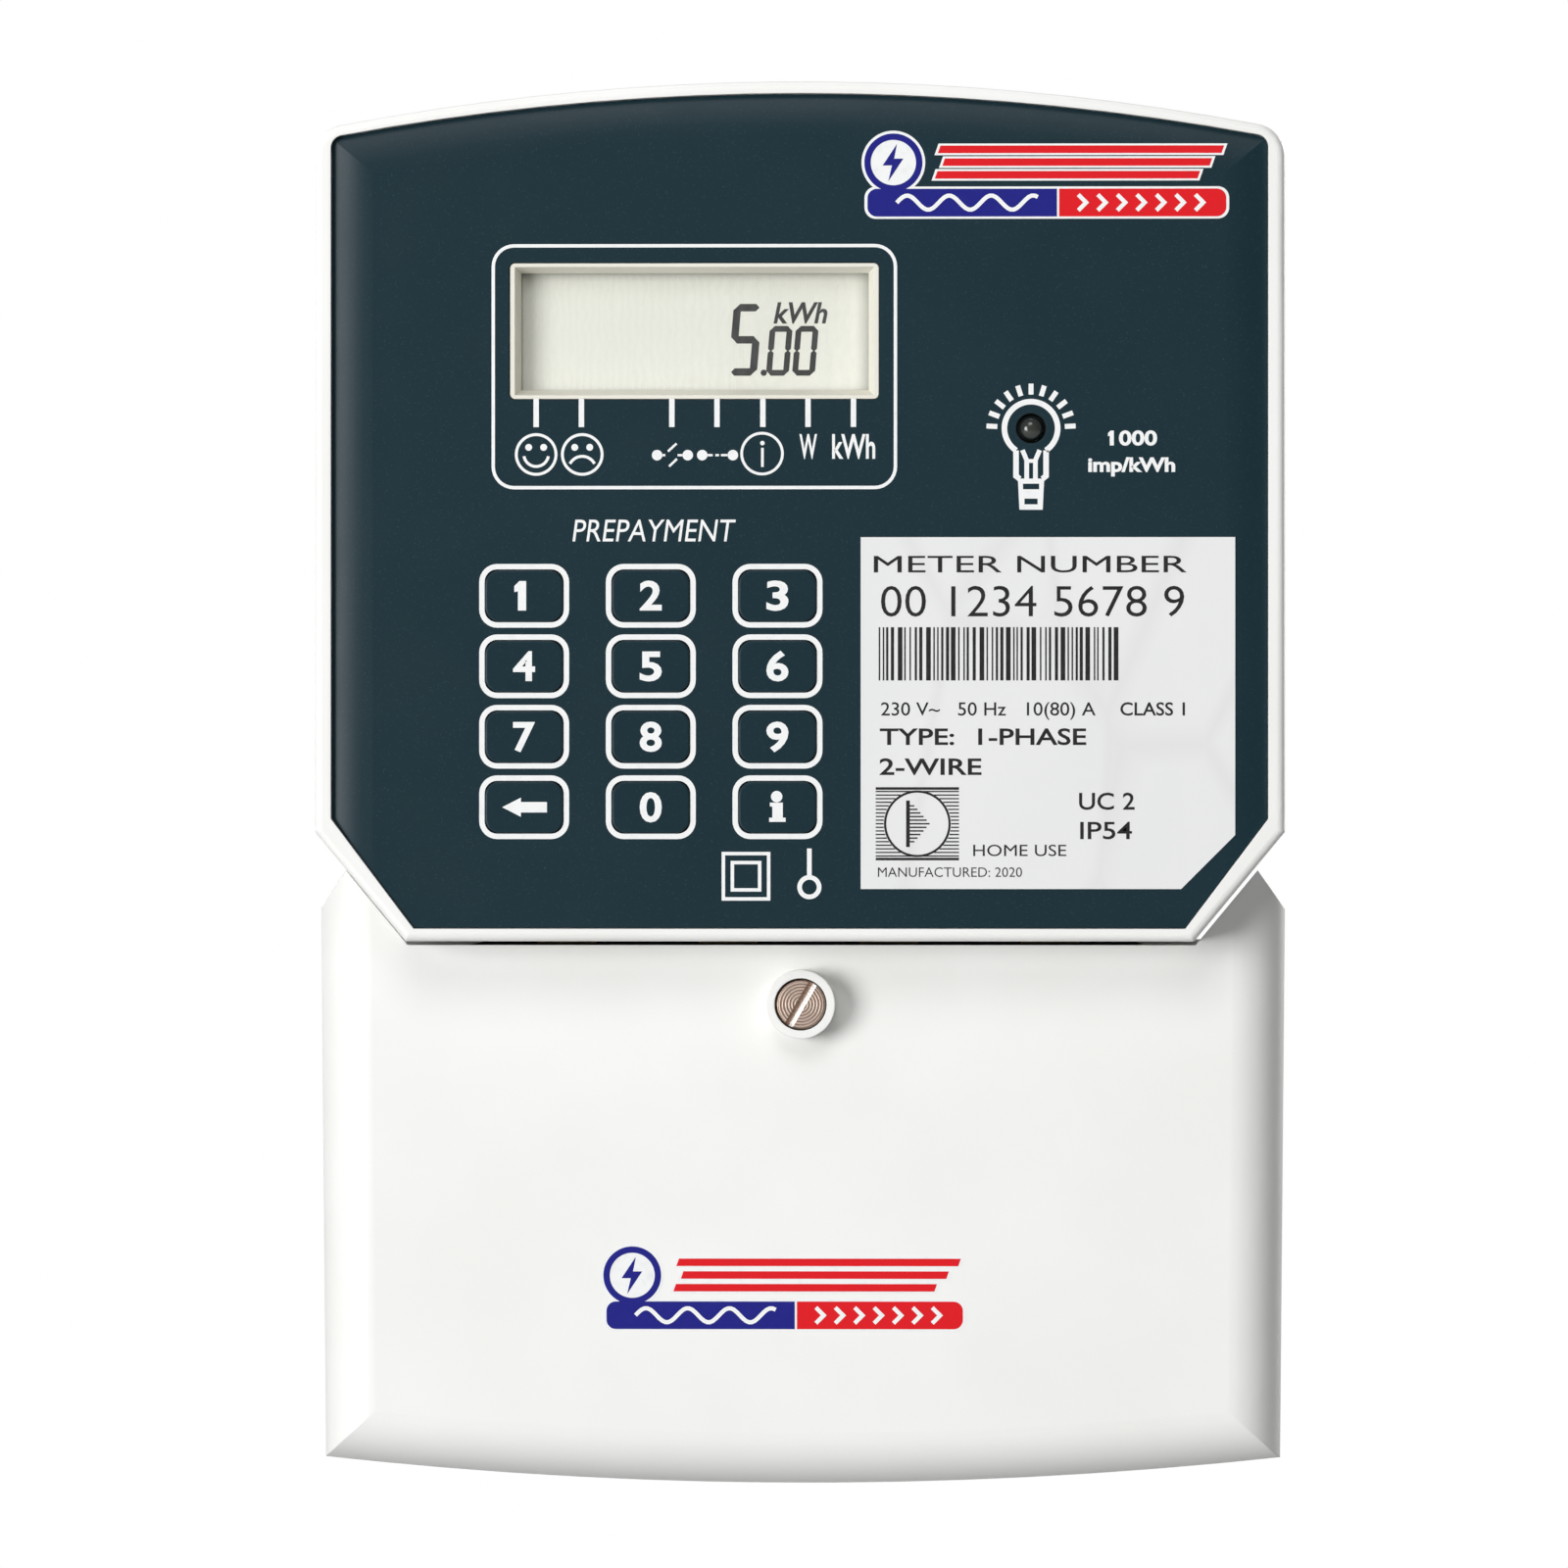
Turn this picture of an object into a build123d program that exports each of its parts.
from build123d import *
import os

os.makedirs("parts", exist_ok=True)

# A prepaid electricity meter that hangs on a wall: a sealed case with a display, a keypad and
# a cut-off relay above, and a terminal block under a lift-off cover below.
# All sizes are in millimetres. X is to the viewer's right, Z is up, the wall is the plane Y = 0.
# "Back" and "front" below are distances from the wall, counted towards the viewer.

# Overall sizes
width = 130.0
height = 188.0
depth = 62.0  # wall to the rim of the sealed case
block_front = 42.0  # wall to the front of the terminal block

# Walls and fits
case_wall = 2.4
cover_wall = 2.2
back_wall = 2.5
assembly_gap = 0.3  # between mouldings that are put together by hand
slip = 0.2  # around small pieces in their windows
running = 0.05  # radial clearance of a screw or plunger in its hole

# Sealed case
crown_rise = 6.5
case_corner = 4.5
case_low = -21.3
case_cut_up = 14.8
case_cut_in = 12.3
case_draft = 0.5  # degrees
rim_round = 1.0
parting = 24.0  # wall to the joint between the base and the front
gasket_thick = 0.6
front_thick = 2.5
fascia_thick = 1.6
fascia_sunk = 0.4  # the fascia lies this much below the rim

# Fascia
rim_side = 2.6
rim_top = 2.0
rim_low = 2.1
fascia_corner = 1.6
fascia_corner_drop = 1.3  # the fascia's upper corners lie this much below the case's
fascia_cut_up = 14.6
fascia_cut_in = 11.0
roll_wide = 5.5
roll_deep = 0.8

# Display
display_x = -14.0
display_down = 33.6  # crown to the middle of the display
window_wide = 49.4
window_tall = 18.3
glass_wide = 50.0
glass_tall = 24.0
glass_thick = 2.2
lens_wide = 47.2
lens_tall = 16.6
lens_thick = 1.2
sight_wide = 46.4
sight_tall = 15.6
sight_taper = 14.0  # degrees
holder_wide = 56.0
holder_tall = 31.0
backlight_wide = 47.0
backlight_tall = 18.0
strip_wide = 46.0
strip_tall = 2.2
strip_off = 10.6  # display centre to the middle of a contact strip

# Keypad
key_column_pitch = 16.9
key_row_pitch = 9.4
keypad_x = -19.8
keypad_up = 32.3  # foot of the case to the middle of the keypad
key_wide = 10.4
key_tall = 6.9
key_corner = 1.9
key_proud = 0.3
key_ear = 0.9  # the flange behind the front reaches this far past the key
key_flange = 1.4
mat_web = 1.0
mat_margin = 1.0
dome_wide = 8.4
dome_tall = 5.4
dome_wall = 1.0

# Pulse lamp
lamp_x = 30.9
lamp_down = 46.6  # crown to the lamp
lamp_radius = 1.7
lamp_hole = 2.0
lamp_proud = 0.7

# Rating label
label_left = 8.2
label_wide = 49.9
label_tall = 46.9
label_up = 7.3  # foot of the case to the foot of the label
label_cut = 7.2
label_thick = 0.15

# Boards
board_thick = 1.6
display_boss_long = 5.9
display_board_left = -50.0
display_board_right = 40.0
display_board_up = 8.8  # foot of the case to the foot of the board
display_board_down = 15.0  # crown to the top of the board
display_boss_in = 3.2  # board's edge to the middle of a boss
display_boss_radius = 2.6
power_board_back = 8.0
power_board_side = 15.0  # side of the case to the board
power_board_up = 9.3
power_board_down = 10.0
power_boss_in = 4.0
power_boss_radius = 3.2
board_screw_radius = 1.2
board_screw_head = 2.3

# Case fixing
pillar_side = 9.0  # side of the case to the middle of a pillar
pillar_up = 19.3
pillar_down = 15.0
pillar_radius = 4.0
case_screw_radius = 1.5
case_screw_head = 2.9
case_screw_end = 40.0

# Wall fixing
hanger_down = 22.0  # crown to the screw entry
hanger_entry = 4.5
hanger_slot = 2.5
hanger_rise = 9.0
hanger_pocket = 6.0
hanger_wall = 1.5
fixing_spacing = 105.0
fixing_z = -52.0
fixing_radius = 2.5

# Terminal end
tray_side = 5.0  # side of the case to the tray
tray_low = -58.0
tray_thick = 3.0
tray_rim = 8.0
block_half = 46.0
block_low = -56.0
terminal_pitch = 22.0
terminal_bore = 4.6
terminal_axis = 17.0  # wall to the middle of the cable bore
barrel_wide = 12.0
barrel_back = 10.0
barrel_front = 27.0
barrel_low = -54.0
barrel_top = -26.0
bore_end = -29.0
plate_wide = 4.9
plate_thick = 1.2
plate_low = -52.0
plate_top = -30.0
clamp_screw_z = (-34.5, -46.5)
clamp_screw_radius = 3.0
clamp_screw_long = 11.0
clamp_head_radius = 3.9
clamp_head_long = 3.0
access_radius = 4.5
tail_wide = 8.0
tail_thick = 1.5
tail_back = 11.0
tail_top = -9.0

# Terminal cover
cover_side_in = 0.8  # the cover's sides lean in by this much at the bottom
cover_belly = 3.5  # the middle of the lower edge hangs this far below its corners
cover_side_top = -17.0
cover_waist_in = 4.6
cover_waist_z = -10.5
cover_back = 1.0
cover_round = 7.0
cover_space = 5.8  # terminal block to the inside of the cover
entry_radius = 5.5

# Cover screw and seal collar
seal_z = -29.5
collar_radius = 4.6
collar_proud = 4.5
collar_seat_up = 1.0  # cover front to the shoulder that the washer rests on
seal_hole = 0.6
seal_hole_up = 2.9  # cover front to the middle of the seal wire's hole
cover_screw_radius = 2.0
cover_head_radius = 3.3
cover_screw_deep = 12.0  # how far the cover screw reaches into the terminal block
washer_thick = 0.5
washer_radius = 3.2
driver_slot = 1.2

# Tamper switch
tamper_x = 22.0
tamper_body = 8.0
tamper_tall = 10.0
tamper_deep = 18.0  # block front to the switch's back
tamper_shoulder_deep = 6.0
tamper_neck = 2.8
tamper_neck_deep = 0.4
plunger_radius = 1.5
plunger_deep = 8.0
plunger_proud = 2.3  # how far the held-down plunger stands out of the block
plunger_pad = 2.5

# Cut-off relay
relay_half = 22.0
relay_low = 4.0
relay_top = 36.0
relay_wall = 1.2
relay_deep = 20.4
bar_thick = 1.5
bar_back = 16.0
bar_front = 26.0
coil_z = 24.0
coil_at = 20.5
coil_left = -15.3
coil_right = 4.5
coil_radius = 6.5
bobbin_half = 7.4
bobbin_flange = 1.2
core_radius = 2.0
core_end = 6.5
yoke_left = -18.5
yoke_top = 14.0
yoke_thick = 1.4
armature_x = 7.7
armature_thick = 1.4
armature_low = 12.6
armature_high = 33.0
finger_end = 13.6
finger_tall = 2.0
blade_x = 14.3
blade_thick = 0.8
blade_low = 7.5
blade_high = 34.0
contact_z = 22.0
contact_radius = 2.5
contact_thick = 1.0

# Values that follow from the ones above
half = width / 2
top = height / 2
low = -height / 2
shoulder = top - crown_rise
front_face = depth - fascia_sunk - fascia_thick  # front of the moulded front wall
front_back = front_face - front_thick
fascia_front = front_face + fascia_thick
cavity_low = case_low + case_wall
cover_inside = block_front + cover_space
cover_depth = cover_inside + cover_wall  # wall to the front of the terminal cover
collar_seat = cover_depth + collar_seat_up
seal_hole_at = cover_depth + seal_hole_up
cover_screw_end = block_front - cover_screw_deep
tamper_back = block_front - tamper_deep
tamper_shoulder = block_front - tamper_shoulder_deep
tamper_neck_end = block_front - tamper_neck_deep
plunger_back = block_front - plunger_deep
plunger_front = block_front + plunger_proud
power_board_front = power_board_back + board_thick
plate_back = terminal_axis + terminal_bore + running
plate_front = plate_back + plate_thick
terminals = [terminal_pitch * (n - 1.5) for n in range(4)]
display_z = top - display_down
keypad_z = case_low + keypad_up
lamp_z = top - lamp_down
label_right = label_left + label_wide
label_low = case_low + label_up
label_top = label_low + label_tall
display_board_front = front_back - display_boss_long
display_board_back = display_board_front - board_thick
display_board_low = case_low + display_board_up
display_board_top = top - display_board_down
display_boss_x = (display_board_left + display_boss_in, display_board_right - display_boss_in)
display_boss_z = (display_board_low + display_boss_in, display_board_top - display_boss_in)
power_board_half = half - power_board_side
power_board_low = case_low + power_board_up
power_board_top = top - power_board_down
power_boss_x = (power_boss_in - power_board_half, power_board_half - power_boss_in)
power_boss_z = (power_board_low + power_boss_in, power_board_top - hanger_down + power_boss_in)
pillar_x = (pillar_side - half, half - pillar_side)
pillar_z = (case_low + pillar_up, top - pillar_down)
hanger_z = top - hanger_down
tray_half = half - tray_side
cover_side_low = half - cover_side_in
cover_corner_z = low + cover_belly
cover_waist_half = half - cover_waist_in
key_columns = [keypad_x + key_column_pitch * (n - 1) for n in range(3)]
key_rows = [keypad_z + key_row_pitch * (1.5 - n) for n in range(4)]
key_names = ["1", "2", "3", "4", "5", "6", "7", "8", "9", "clear", "0", "info"]
key_places = [(x, z) for z in key_rows for x in key_columns]


def save(shape, name):
    """Writes one piece of the meter to its own file."""
    export_step(shape, f"parts/{name}.step")


def slab(sketch, back, front, taper=0):
    """An outline drawn on the wall, made solid between two distances from the wall."""
    return extrude(Plane.XZ.offset(back) * sketch, front - back, taper=taper)


def block(left, right, bottom, upper, back, front):
    """A square-edged block between two limits in each direction."""
    middle = Pos((left + right) / 2, (bottom + upper) / 2)
    return slab(middle * Rectangle(right - left, upper - bottom), back, front)


def rounded(x, z, wide, tall, radius, back, front):
    """A block centred on (x, z) with rounded upright edges."""
    return slab(Pos(x, z) * RectangleRounded(wide, tall, radius), back, front)


def peg(x, z, radius, back, front):
    """A round peg that stands out from the wall."""
    return slab(Pos(x, z) * Circle(radius), back, front)


def rod(at, z, radius, left, right):
    """A round rod that lies along X, at a distance from the wall."""
    return extrude(Plane.YZ.offset(left) * Pos(-at, z) * Circle(radius), right - left)


def upright(x, at, radius, bottom, upper):
    """A round bar that runs along Z, at a distance from the wall."""
    return extrude(Plane.XY.offset(bottom) * Pos(x, -at) * Circle(radius), upper - bottom)


def arched(side, corner_z, crown_z, bottom, cut_up, cut_in, radius):
    """The case's outline: an arched top, straight sides and two cut lower corners."""
    arc = ThreePointArc((-side, corner_z), (0, crown_z), (side, corner_z))
    rest = Polyline(
        (side, corner_z),
        (side, bottom + cut_up),
        (side - cut_in, bottom),
        (cut_in - side, bottom),
        (-side, bottom + cut_up),
        (-side, corner_z),
    )
    face = make_face(arc.edges() + rest.edges())
    return fillet(face.vertices().group_by(Axis.Y)[-1], radius)


def grown(face, by):
    """An outline with every side moved outwards, or inwards where the amount is negative."""
    return offset(face, by, kind=Kind.INTERSECTION)


def cover_shoulders():
    """What the cover's outline loses at the two shoulders, where it meets the case."""
    rise = (cover_waist_z - cover_side_top) / cover_waist_in
    right = make_face(Polyline((half, cover_side_top), (cover_waist_half, cover_waist_z),
                               (0, cover_waist_z), (0, 0), (half + 1, 0),
                               (half + 1, cover_side_top - rise), (half, cover_side_top)).edges())
    return right + mirror(right, Plane.YZ)


def screw(x, z, radius, head, tip, under_head, head_end):
    """A screw along Y whose head is at head_end, which may be nearer the wall than its tip."""
    shank = peg(x, z, radius, min(tip, under_head), max(tip, under_head))
    cap = peg(x, z, head, min(under_head, head_end), max(under_head, head_end))
    return shank + cap


outline = arched(half, shoulder, top, case_low, case_cut_up, case_cut_in, case_corner)
cavity = grown(outline, -case_wall)


# Base of the case, with the lower tray that carries the terminal block
def base_housing():
    shell = slab(outline, 0, parting) - slab(cavity, back_wall, parting)
    shell += block(-tray_half, tray_half, tray_low, case_low, 0, tray_thick)
    for side in (-1, 1):
        outer = side * tray_half
        inner = side * (tray_half - cover_wall)
        shell += block(min(outer, inner), max(outer, inner), tray_low, case_low - case_wall, 0, tray_rim)
        shell -= peg(side * fixing_spacing / 2, fixing_z, fixing_radius, 0, tray_thick)
    for x in pillar_x:
        for z in pillar_z:
            shell += peg(x, z, pillar_radius, back_wall, parting)
            shell -= peg(x, z, case_screw_head + slip, 0, back_wall)
            shell -= peg(x, z, case_screw_radius + slip, 0, parting)
    for x in power_boss_x:
        for z in power_boss_z:
            shell += peg(x, z, power_boss_radius, back_wall, power_board_back)
            shell -= peg(x, z, board_screw_radius + running, back_wall + 1, power_board_back)
    for x in terminals:
        wide = tail_wide / 2 + assembly_gap
        front = tail_back + tail_thick + assembly_gap
        shell -= block(x - wide, x + wide, case_low, cavity_low, tail_back - assembly_gap, front)
    pocket = hanger_entry + hanger_wall
    shell += block(-pocket, pocket, hanger_z - pocket, hanger_z + hanger_rise + pocket,
                   back_wall, hanger_pocket + hanger_wall)
    shell -= peg(0, hanger_z, hanger_entry, 0, hanger_pocket)
    shell -= block(-hanger_slot, hanger_slot, hanger_z, hanger_z + hanger_rise, 0, hanger_pocket)
    shell -= peg(0, hanger_z + hanger_rise, hanger_slot, 0, hanger_pocket)
    shell -= block(-hanger_entry, hanger_entry, hanger_z, hanger_z + hanger_rise, back_wall, hanger_pocket)
    shell -= peg(0, hanger_z + hanger_rise, hanger_entry, back_wall, hanger_pocket)
    return shell


save(base_housing(), "base_housing")


# Gasket in the parting joint
def case_gasket():
    outer = grown(outline, -assembly_gap)
    inner = grown(outline, assembly_gap - case_wall)
    return slab(outer, parting, parting + gasket_thick) - slab(inner, parting, parting + gasket_thick)


save(case_gasket(), "case_gasket")


# Front of the case, with windows for the display, the keys and the lamp
fascia_side = half - rim_side
fascia_top = top - rim_top
fascia_shoulder = shoulder - fascia_corner_drop
fascia_low = case_low + rim_low


def fascia_outline():
    """The fascia's outline, which leaves a pale rim of the case all round."""
    return arched(fascia_side, fascia_shoulder, fascia_top, fascia_low,
                  fascia_cut_up, fascia_cut_in, fascia_corner)


def windows(back, front):
    """What is cut through the front wall and the fascia."""
    cut = rounded(display_x, display_z, window_wide, window_tall, 0.8, back, front)
    cut += peg(lamp_x, lamp_z, lamp_hole, back, front)
    for x, z in key_places:
        cut += rounded(x, z, key_wide + 2 * slip, key_tall + 2 * slip, key_corner + slip, back, front)
    return cut


def front_cover():
    start = parting + gasket_thick
    shell = slab(outline, start, depth, taper=case_draft)
    rim = shell.faces().sort_by(Axis.Y)[0]
    shell = fillet(rim.outer_wire().edges(), rim_round)
    shell -= slab(grown(outline, -case_wall), start, front_back, taper=case_draft)
    shell -= slab(grown(fascia_outline(), slip / 2), front_face, depth)
    shell -= windows(front_back, depth)
    for x in pillar_x:
        for z in pillar_z:
            shell += peg(x, z, pillar_radius, start, front_back)
            shell -= peg(x, z, case_screw_radius + running, start, case_screw_end + 1)
    for x in display_boss_x:
        for z in display_boss_z:
            shell += peg(x, z, display_boss_radius, display_board_front, front_back)
            shell -= peg(x, z, board_screw_radius + running, display_board_front, front_back - 1)
    return shell


save(front_cover(), "front_cover")


# Screws that close the case from behind
def case_screws():
    group = []
    for x in pillar_x:
        for z in pillar_z:
            one = screw(x, z, case_screw_radius, case_screw_head, case_screw_end, back_wall, 0.4)
            one -= block(x - 2, x + 2, z - 0.4, z + 0.4, 0.4, 1.2)
            one -= block(x - 0.4, x + 0.4, z - 2, z + 2, 0.4, 1.2)
            group.append(one)
    return Compound(children=group)


save(case_screws(), "case_screws")


# Fascia, whose left, right and upper edges roll back into the rim
def front_fascia():
    plate = slab(fascia_outline(), front_face, fascia_front)
    flat = fascia_side - roll_wide
    edge = fascia_front - roll_deep
    profile = make_face(
        Polyline((-flat, -fascia_front), (flat, -fascia_front)).edges()
        + TangentArc((flat, -fascia_front), (fascia_side, -edge), tangent=(1, 0)).edges()
        + Polyline((fascia_side, -edge), (fascia_side, -front_face),
                   (-fascia_side, -front_face), (-fascia_side, -edge)).edges()
        + TangentArc((-flat, -fascia_front), (-fascia_side, -edge), tangent=(-1, 0)).edges()
    )
    sides = extrude(Plane.XY.offset(case_low) * profile, height)
    rise = fascia_top - fascia_shoulder
    reach = (fascia_side**2 + rise**2) / (2 * rise)
    centre = fascia_top - reach
    crown = make_face(
        Polyline((-fascia_front, fascia_top - roll_wide), (-fascia_front, centre + 1),
                 (-front_face, centre + 1), (-front_face, fascia_top), (-edge, fascia_top)).edges()
        + TangentArc((-fascia_front, fascia_top - roll_wide), (-edge, fascia_top), tangent=(0, 1)).edges()
    )
    dome = revolve(Plane.YZ * crown, Axis((0, 0, centre), (0, 1, 0)), 360)
    return (plate & sides & dome) - windows(front_face, fascia_front)


save(front_fascia(), "front_fascia")


# Rating label on the fascia
def rating_label():
    sheet = make_face(Polyline(
        (label_left, label_low), (label_right - label_cut, label_low),
        (label_right, label_low + label_cut), (label_right, label_top),
        (label_left, label_top), (label_left, label_low)).edges())
    return slab(sheet, fascia_front, fascia_front + label_thick)


save(rating_label(), "rating_label")


# Display: holder with a sloping sight, clear lens, glass, backlight and contact strips
glass_front = front_back - assembly_gap
glass_back = glass_front - glass_thick
lens_front = glass_front + lens_thick
holder_front = fascia_front - 0.2


def lcd_holder():
    body = rounded(display_x, display_z, holder_wide, holder_tall, 1.5, display_board_front, front_back)
    body += rounded(display_x, display_z, window_wide - slip, window_tall - slip, 0.7,
                    front_back, holder_front)
    sight = Pos(display_x, display_z) * Rectangle(sight_wide, sight_tall)
    body -= slab(sight, lens_front, holder_front, taper=-sight_taper)
    body -= rounded(display_x, display_z, lens_wide + slip, lens_tall + slip, 0.6, glass_front, lens_front)
    body -= rounded(display_x, display_z, glass_wide + slip, glass_tall + slip, 0.6,
                    display_board_front, glass_front)
    return body


def contact_strips():
    pair = []
    for side in (-1, 1):
        z = display_z + side * strip_off
        pair.append(block(display_x - strip_wide / 2, display_x + strip_wide / 2,
                          z - strip_tall / 2, z + strip_tall / 2, display_board_front, glass_back))
    return Compound(children=pair)


save(lcd_holder(), "lcd_holder")
save(rounded(display_x, display_z, lens_wide, lens_tall, 0.5, glass_front, lens_front), "display_window")
save(rounded(display_x, display_z, glass_wide, glass_tall, 0.5, glass_back, glass_front), "lcd_glass")
save(rounded(display_x, display_z, backlight_wide, backlight_tall, 0.8,
             display_board_front, glass_back), "backlight_plate")
save(contact_strips(), "contact_strips")


# Keypad: twelve keys over one rubber mat
flange_front = front_back - slip
flange_back = flange_front - key_flange
dome_front = flange_back - slip


def key(x, z):
    cap = rounded(x, z, key_wide, key_tall, key_corner, flange_front, fascia_front + key_proud)
    cap = fillet(cap.faces().sort_by(Axis.Y)[0].edges(), 0.25)
    return cap + rounded(x, z, key_wide + 2 * key_ear, key_tall + 2 * key_ear, key_corner,
                         flange_back, flange_front)


def keypad_mat():
    span_x = key_column_pitch * 2 + key_wide + 2 * (key_ear + mat_margin)
    span_z = key_row_pitch * 3 + key_tall + 2 * (key_ear + mat_margin)
    web_front = display_board_front + mat_web
    mat = rounded(keypad_x, keypad_z, span_x, span_z, 2.0, display_board_front, web_front)
    for x, z in key_places:
        mat += rounded(x, z, dome_wide, dome_tall, 1.6, web_front, dome_front)
        mat -= rounded(x, z, dome_wide - 2 * dome_wall, dome_tall - 2 * dome_wall, 0.8,
                       display_board_front, dome_front - dome_wall)
    return mat


for name, (x, z) in zip(key_names, key_places):
    save(key(x, z), f"key_{name}")
save(keypad_mat(), "keypad_mat")


# Pulse lamp that shines through the fascia
def pulse_lamp():
    tip = fascia_front + lamp_proud
    body = peg(lamp_x, lamp_z, lamp_radius, display_board_front + 1, tip)
    body = fillet(body.faces().sort_by(Axis.Y)[0].edges(), lamp_radius * 0.9)
    body += peg(lamp_x, lamp_z, lamp_radius + 0.5, display_board_front + 1, display_board_front + 2)
    for side in (-1, 1):
        body += peg(lamp_x + side * 0.9, lamp_z, 0.3, display_board_back - 1, display_board_front + 1)
    return body


save(pulse_lamp(), "pulse_lamp")


# Display board on the front's bosses
def display_board():
    board = block(display_board_left, display_board_right, display_board_low, display_board_top,
                  display_board_back, display_board_front)
    for x in display_boss_x:
        for z in display_boss_z:
            board -= peg(x, z, board_screw_radius + slip, display_board_back, display_board_front)
    for side in (-1, 1):
        board -= peg(lamp_x + side * 0.9, lamp_z, 0.5, display_board_back, display_board_front)
    return board


save(display_board(), "display_board")


# Power board on the base's bosses
def power_board():
    board = block(-power_board_half, power_board_half, power_board_low, power_board_top,
                  power_board_back, power_board_front)
    for x in power_boss_x:
        for z in power_boss_z:
            board -= peg(x, z, board_screw_radius + slip, power_board_back, power_board_front)
    return board


save(power_board(), "power_board")


def board_screws():
    group = []
    for x in display_boss_x:
        for z in display_boss_z:
            group.append(screw(x, z, board_screw_radius, board_screw_head, front_back - 1.5,
                               display_board_back, display_board_back - 1.6))
    for x in power_boss_x:
        for z in power_boss_z:
            group.append(screw(x, z, board_screw_radius, board_screw_head, back_wall + 1.5,
                               power_board_front, power_board_front + 1.6))
    return Compound(children=group)


save(board_screws(), "board_screws")


# Chips on both boards
def board_chips():
    group = []
    back = display_board_back
    for x, z, wide, tall in ((-30, 8, 14, 14), (-8, 62, 10, 6), (24, 20, 7, 5)):
        group.append(block(x - wide / 2, x + wide / 2, z - tall / 2, z + tall / 2, back - 1.5, back))
    front = power_board_front
    for x, z, wide, tall in ((-38, 38, 9, 7), (36, 42, 6, 5)):
        group.append(block(x - wide / 2, x + wide / 2, z - tall / 2, z + tall / 2, front, front + 1.5))
    return Compound(children=group)


save(board_chips(), "board_chips")


# Flat cable and its two plugs, between the boards
plug_x = 4.0
plug_z = 50.0
plug_wide = 22.0
plug_tall = 5.0
plug_deep = 8.0
ribbon_wide = 18.0
ribbon_thick = 0.9
ribbon_sag = 5.0


def ribbon_cable():
    near = power_board_front + plug_deep
    far = display_board_back - plug_deep
    middle = (near + far) / 2
    lower = ThreePointArc((-near, -ribbon_thick / 2), (-middle, -ribbon_sag - ribbon_thick / 2),
                          (-far, -ribbon_thick / 2))
    upper = ThreePointArc((-near, ribbon_thick / 2), (-middle, -ribbon_sag + ribbon_thick / 2),
                          (-far, ribbon_thick / 2))
    ends = [Line(lower @ 0, upper @ 0), Line(lower @ 1, upper @ 1)]
    strip = make_face(lower.edges() + upper.edges() + ends[0].edges() + ends[1].edges())
    place = Plane.YZ.offset(plug_x - ribbon_wide / 2) * Pos(0, plug_z)
    cable = extrude(place * strip, ribbon_wide)
    for start, end in ((power_board_front, near), (far, display_board_back)):
        cable += block(plug_x - plug_wide / 2, plug_x + plug_wide / 2,
                       plug_z - plug_tall / 2, plug_z + plug_tall / 2, start, end)
    return cable


save(ribbon_cable(), "ribbon_cable")


# Supply parts on the power board
def smoothing_capacitors():
    group = []
    for x, radius, tall in ((-40.0, 6.5, 21.0), (-24.0, 5.0, 16.0)):
        can = peg(x, 54, radius, power_board_front, power_board_front + tall)
        can = fillet(can.faces().sort_by(Axis.Y)[0].edges(), 0.8)
        groove = peg(x, 54, radius + 1, power_board_front + 2.5, power_board_front + 3.3)
        can -= groove - peg(x, 54, radius - 0.6, power_board_front + 2.5, power_board_front + 3.3)
        group.append(can)
    return Compound(children=group)


def dropper_capacitor():
    box = block(20, 46, 52, 62, power_board_front, power_board_front + 17)
    return fillet(box.edges().filter_by(Axis.Y), 1.0)


def surge_varistor():
    middle = power_board_front + 9.5
    disc = rod(middle, 74, 7.0, 30.0, 34.6)
    disc = fillet(disc.edges().filter_by(GeomType.CIRCLE), 1.2)
    for z in (70.5, 77.5):
        disc += peg(32.3, z, 0.5, power_board_front, middle)
    return disc


save(smoothing_capacitors(), "smoothing_capacitors")
save(dropper_capacitor(), "dropper_capacitor")
save(surge_varistor(), "surge_varistor")


# Cut-off relay: open case, lid, coil on its yoke, armature, moving blade and two copper bars
relay_back = power_board_front
relay_front = relay_back + relay_deep
relay_floor = relay_back + relay_wall
bar_low = relay_low + relay_wall
bar_top = bar_low + bar_thick
strap_back = tail_back + tail_thick
strap_front = strap_back + tail_thick


def relay_case():
    box = block(-relay_half, relay_half, relay_low, relay_top, relay_back, relay_front)
    box -= block(-relay_half + relay_wall, relay_half - relay_wall, bar_low, relay_top - relay_wall,
                 relay_floor, relay_front)
    slot = block(-relay_half, relay_half, bar_low, bar_top + slip, bar_back - slip, bar_front + slip)
    return box - slot


def relay_coil():
    core = rod(coil_at, coil_z, core_radius, yoke_left, core_end)
    yoke = block(yoke_left, armature_x - armature_thick / 2 - 0.4, yoke_top - yoke_thick, yoke_top,
                 relay_floor, relay_front - 1)
    yoke += block(yoke_left, yoke_left + yoke_thick, yoke_top, coil_z + bobbin_half,
                  relay_floor, relay_front - 1)
    wall = core_radius + 1
    bobbin = rod(coil_at, coil_z, wall, coil_left, coil_right)
    for start in (coil_left - bobbin_flange, coil_right):
        bobbin += block(start, start + bobbin_flange, coil_z - bobbin_half, coil_z + bobbin_half,
                        coil_at - bobbin_half, coil_at + bobbin_half)
    bobbin -= rod(coil_at, coil_z, core_radius + running, yoke_left, core_end)
    winding = rod(coil_at, coil_z, coil_radius, coil_left + running, coil_right - running)
    winding -= rod(coil_at, coil_z, wall + running, coil_left, coil_right)
    return Compound(children=[core + yoke, bobbin, winding])


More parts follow.
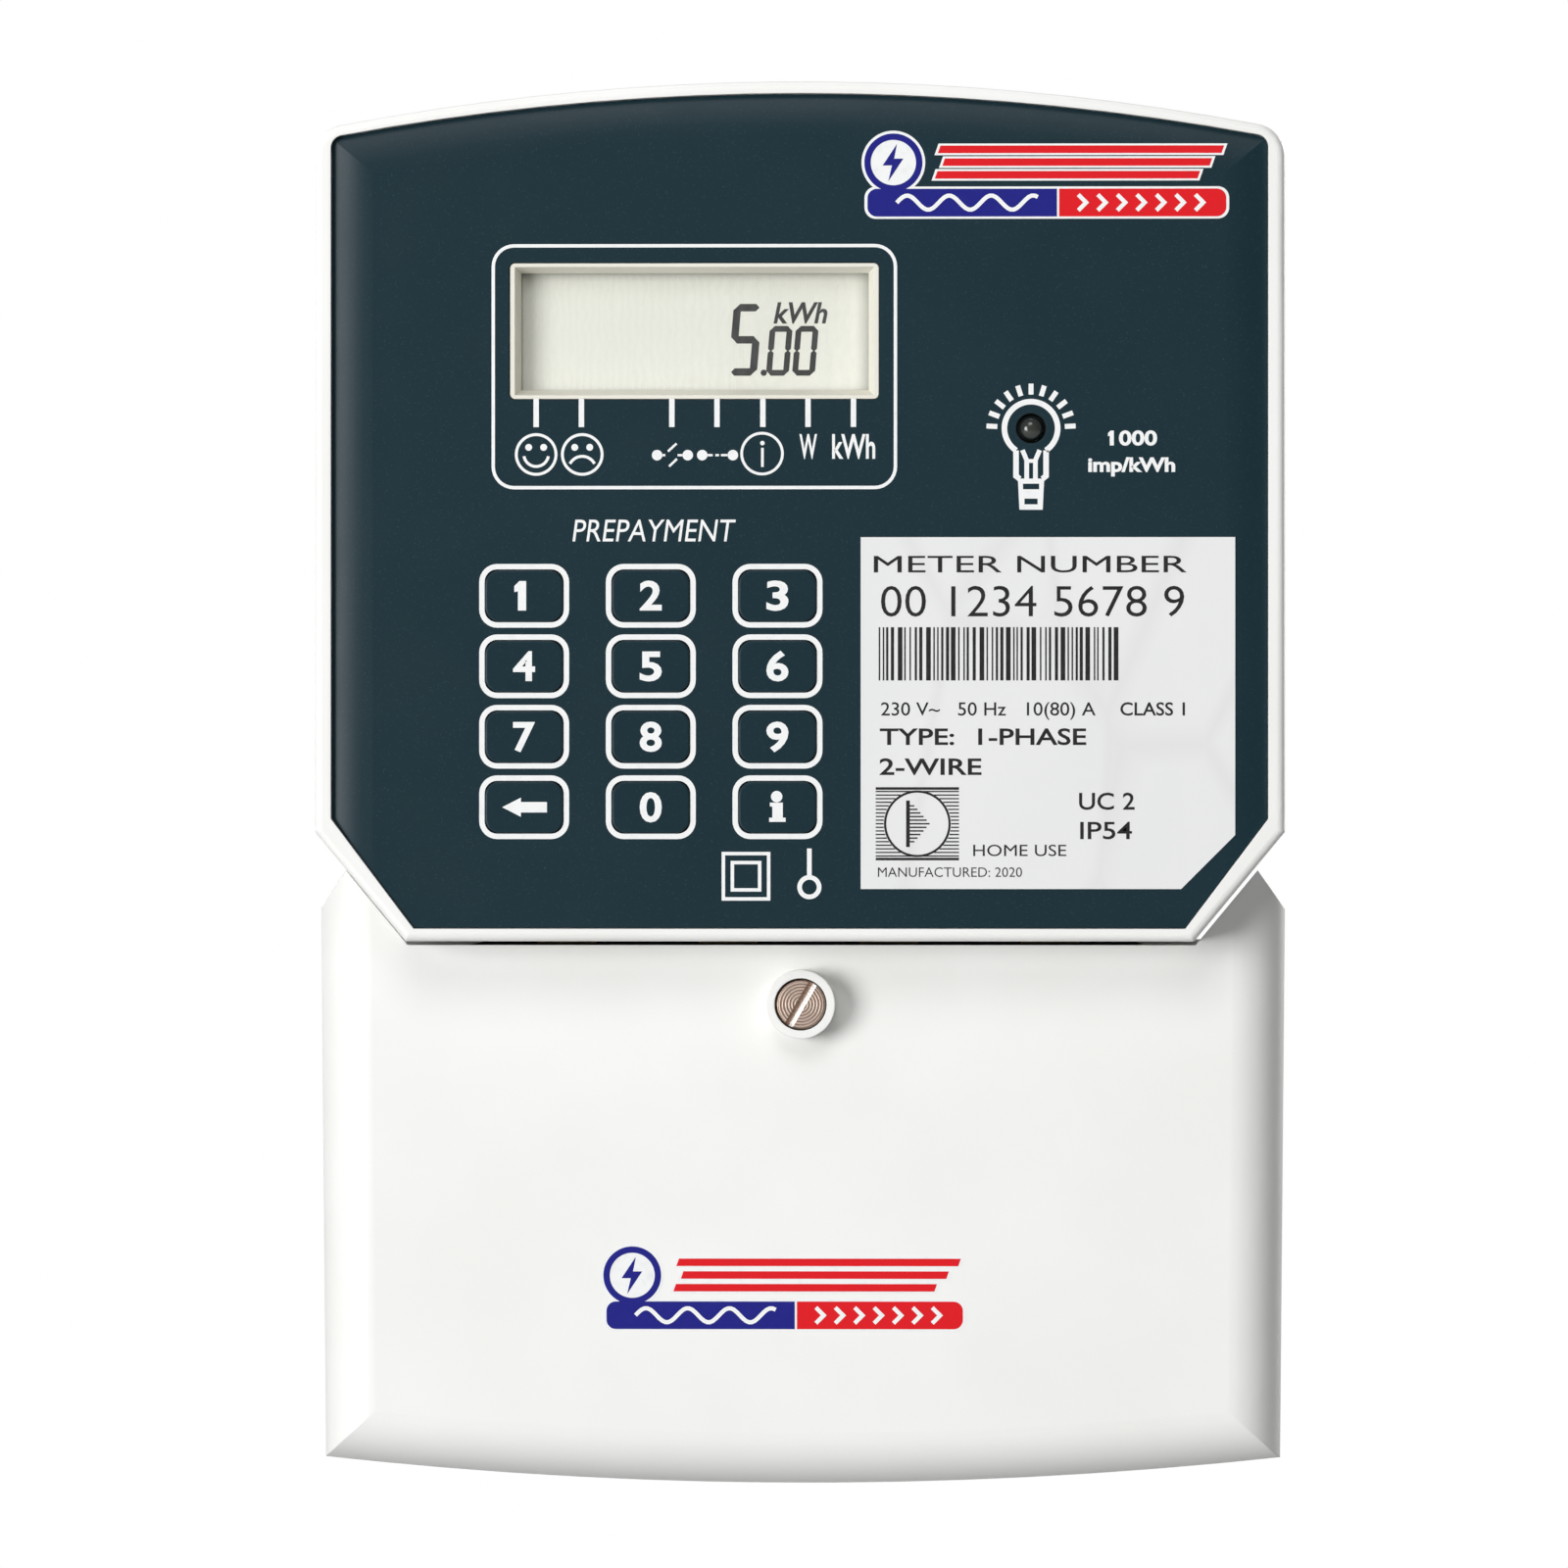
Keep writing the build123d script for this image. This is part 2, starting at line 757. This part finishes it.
def relay_armature():
    left = armature_x - armature_thick / 2
    right = armature_x + armature_thick / 2
    plate = block(left, right, armature_low, armature_high, relay_floor + 1.5, relay_front - 1.5)
    return plate + block(right, finger_end, armature_high - finger_tall, armature_high,
                         coil_at - 3, coil_at + 3)


def relay_contact_blade():
    left = blade_x - blade_thick / 2
    strip = block(left, left + blade_thick, blade_low, blade_high, bar_back, bar_front)
    return strip + rod(coil_at, contact_z, contact_radius, left - contact_thick, left)


def relay_bars():
    face = blade_x - blade_thick / 2 - contact_thick
    edge = relay_half + 1
    lug_left = terminals[0] - tail_wide / 2
    lug_right = terminals[3] + tail_wide / 2
    stem = face - contact_thick
    line = block(lug_left, stem, bar_low, bar_top, bar_back, bar_front)
    line += block(lug_left, -edge, bar_low, bar_top, strap_back, bar_front)
    line += block(stem - bar_thick, stem, bar_low, contact_z + contact_radius, bar_back, bar_front)
    line += rod(coil_at, contact_z, contact_radius, stem, face)
    anchor = blade_x + blade_thick / 2 + assembly_gap
    load = block(anchor, lug_right, bar_low, bar_top, bar_back, bar_front)
    load += block(anchor, anchor + bar_thick, bar_low, blade_low + 1.5, bar_back, bar_front)
    load += block(edge, lug_right, bar_low, bar_top, strap_back, bar_front)
    load += block(terminals[3] - tail_wide / 2, lug_right, cavity_low + 2, bar_low, strap_back, strap_front)
    return Compound(children=[line, load])


save(relay_case(), "relay_case")
save(block(-relay_half, relay_half, relay_low, relay_top, relay_front, relay_front + relay_wall),
     "relay_lid")
save(relay_coil(), "relay_coil")
save(relay_armature(), "relay_armature")
save(relay_contact_blade(), "relay_contact_blade")
save(relay_bars(), "relay_bars")


# Copper between the terminals and the relay
def current_shunt():
    x = terminals[0]
    strap = block(x - tail_wide / 2, x + tail_wide / 2, cavity_low + 2, bar_low, strap_back, strap_front)
    notch = 6.0
    for side in (-1, 1):
        edge = x + side * tail_wide / 2
        strap -= block(min(edge, edge - side), max(edge, edge - side), bar_low - 4 - notch, bar_low - 4,
                       strap_back, strap_front)
    return strap


def neutral_link():
    reach = terminals[2] + tail_wide / 2
    return block(-reach, reach, cavity_low + 2, tail_top, strap_back, strap_front)


save(current_shunt(), "current_shunt")
save(neutral_link(), "neutral_link")


# Terminal block with four cable ways
seal_bore = cover_screw_radius + running


def terminal_block():
    body = block(-block_half, block_half, block_low, case_low - assembly_gap, tray_thick, block_front)
    body = fillet(body.edges().filter_by(Axis.Y), 1.5)
    for x in terminals:
        wide = barrel_wide / 2 + slip / 2
        body -= block(x - wide, x + wide, barrel_low - slip, case_low - assembly_gap,
                      barrel_back, barrel_front + slip)
        body -= upright(x, terminal_axis, terminal_bore + 0.4, block_low, barrel_low)
        for z in clamp_screw_z:
            body -= peg(x, z, access_radius, barrel_front, block_front)
    body -= peg(0, seal_z, seal_bore, cover_screw_end - 2, block_front)
    side = tamper_body / 2 + slip
    body -= block(tamper_x - side, tamper_x + side, seal_z - tamper_tall / 2 - slip,
                  seal_z + tamper_tall / 2 + slip, tamper_back, block_front)
    return body


save(terminal_block(), "terminal_block")


# Brass barrels, each with a cable bore, two threaded holes and a tail into the case
def terminal_barrels():
    group = []
    for x in terminals:
        wide = barrel_wide / 2
        body = block(x - wide, x + wide, barrel_low, barrel_top, barrel_back, barrel_front)
        body -= upright(x, terminal_axis, terminal_bore, barrel_low, bore_end)
        guide = plate_wide / 2 + slip / 2
        body -= block(x - guide, x + guide, barrel_low, bore_end, terminal_axis, plate_front + slip / 2)
        for z in clamp_screw_z:
            body -= peg(x, z, clamp_screw_radius + running, terminal_axis, barrel_front)
        body += block(x - tail_wide / 2, x + tail_wide / 2, barrel_top, tail_top,
                      tail_back, tail_back + tail_thick)
        group.append(body)
    return Compound(children=group)


save(terminal_barrels(), "terminal_barrels")


# Clamp plates and their screws
def clamp_plate(x):
    return block(x - plate_wide / 2, x + plate_wide / 2, plate_low, plate_top, plate_back, plate_front)


def clamp_screw(x, z):
    neck = plate_front + clamp_screw_long
    body = screw(x, z, clamp_screw_radius, clamp_head_radius, plate_front, neck, neck + clamp_head_long)
    end = neck + clamp_head_long
    body -= block(x - clamp_head_radius, x + clamp_head_radius, z - 0.5, z + 0.5, end - 1.8, end)
    return body - block(x - 0.5, x + 0.5, z - 2.2, z + 2.2, end - 1.8, end)


for number, x in enumerate(terminals, 1):
    save(clamp_plate(x), f"clamp_plate_{number}")
    for place, z in zip(("upper", "lower"), clamp_screw_z):
        save(clamp_screw(x, z), f"clamp_screw_{number}_{place}")


# Terminal cover with the seal collar and four cable entries
def cover_solid(inset):
    """The cover made solid, or its hollow: leaning sides and a bellied lower edge, rounded in front."""
    side = half - inset
    front = cover_depth - inset
    radius = cover_round - inset
    roll = TangentArc((side - radius, -front), (side, radius - front), tangent=(1, 0))
    back = Polyline((side, radius - front), (side, -cover_back), (-half, -cover_back),
                    (-half, -front), (side - radius, -front))
    down = Vector(-cover_side_in, 0, cover_corner_z) * (low / cover_corner_z)
    right = extrude(make_face(roll.edges() + back.edges()), down.length, dir=down)
    lowest = low + inset
    roll = TangentArc((-front, lowest + radius), (radius - front, lowest), tangent=(0, -1))
    back = Polyline((radius - front, lowest), (-cover_back, lowest), (-cover_back, 1), (-front, 1),
                    (-front, lowest + radius))
    reach = (cover_side_low**2 + cover_belly**2) / (2 * cover_belly)
    belly = revolve(Plane.YZ * make_face(roll.edges() + back.edges()),
                    Axis((0, 0, low + reach), (0, 1, 0)), 360)
    return right & mirror(right, Plane.YZ) & belly


def terminal_cover():
    shell = cover_solid(0) - cover_solid(cover_wall)
    shell -= slab(cover_shoulders(), 0, depth)
    shell -= slab(grown(outline, assembly_gap), 0, depth)
    shell += peg(0, seal_z, collar_radius, block_front + assembly_gap, cover_depth + collar_proud)
    shell -= peg(0, seal_z, cover_screw_radius + slip, block_front, collar_seat)
    shell -= peg(0, seal_z, cover_head_radius + slip, collar_seat, cover_depth + collar_proud)
    shell -= rod(seal_hole_at, seal_z, seal_hole, -collar_radius, collar_radius)
    shell += peg(tamper_x, seal_z, plunger_pad, plunger_front, cover_inside)
    for x in terminals:
        entry = Pos(x, -terminal_axis) * Circle(entry_radius)
        entry += Pos(x, -terminal_axis / 2) * Rectangle(2 * entry_radius, terminal_axis)
        shell -= extrude(Plane.XY.offset(low - 1) * entry, 2 * cover_round)
    return shell


save(terminal_cover(), "terminal_cover")


# Seal screw with a driver slot, on its retaining washer
head_back = collar_seat + washer_thick
head_front = cover_depth + collar_proud - 0.4


def cover_screw():
    body = screw(0, seal_z, cover_screw_radius, cover_head_radius, cover_screw_end, head_back, head_front)
    body = fillet(body.faces().sort_by(Axis.Y)[0].edges(), 0.3)
    slot = Rot(0, 0, 60) * Rectangle(2 * cover_head_radius + 1, driver_slot)
    body -= slab(Pos(0, seal_z) * slot, head_front - 1.0, head_front)
    return body


def cover_screw_washer():
    ring = peg(0, seal_z, washer_radius, collar_seat, head_back)
    return ring - peg(0, seal_z, cover_screw_radius + running, collar_seat, head_back)


save(cover_screw(), "cover_screw")
save(cover_screw_washer(), "cover_screw_washer")


# Tamper switch in the terminal block, and the plunger that the cover holds down
def tamper_switch():
    body = block(tamper_x - tamper_body / 2, tamper_x + tamper_body / 2,
                 seal_z - tamper_tall / 2, seal_z + tamper_tall / 2, tamper_back, tamper_shoulder)
    body += peg(tamper_x, seal_z, tamper_neck, tamper_shoulder, tamper_neck_end)
    return body - peg(tamper_x, seal_z, plunger_radius + running, plunger_back, tamper_neck_end)


save(tamper_switch(), "tamper_switch")
save(peg(tamper_x, seal_z, plunger_radius, plunger_back, plunger_front), "tamper_plunger")
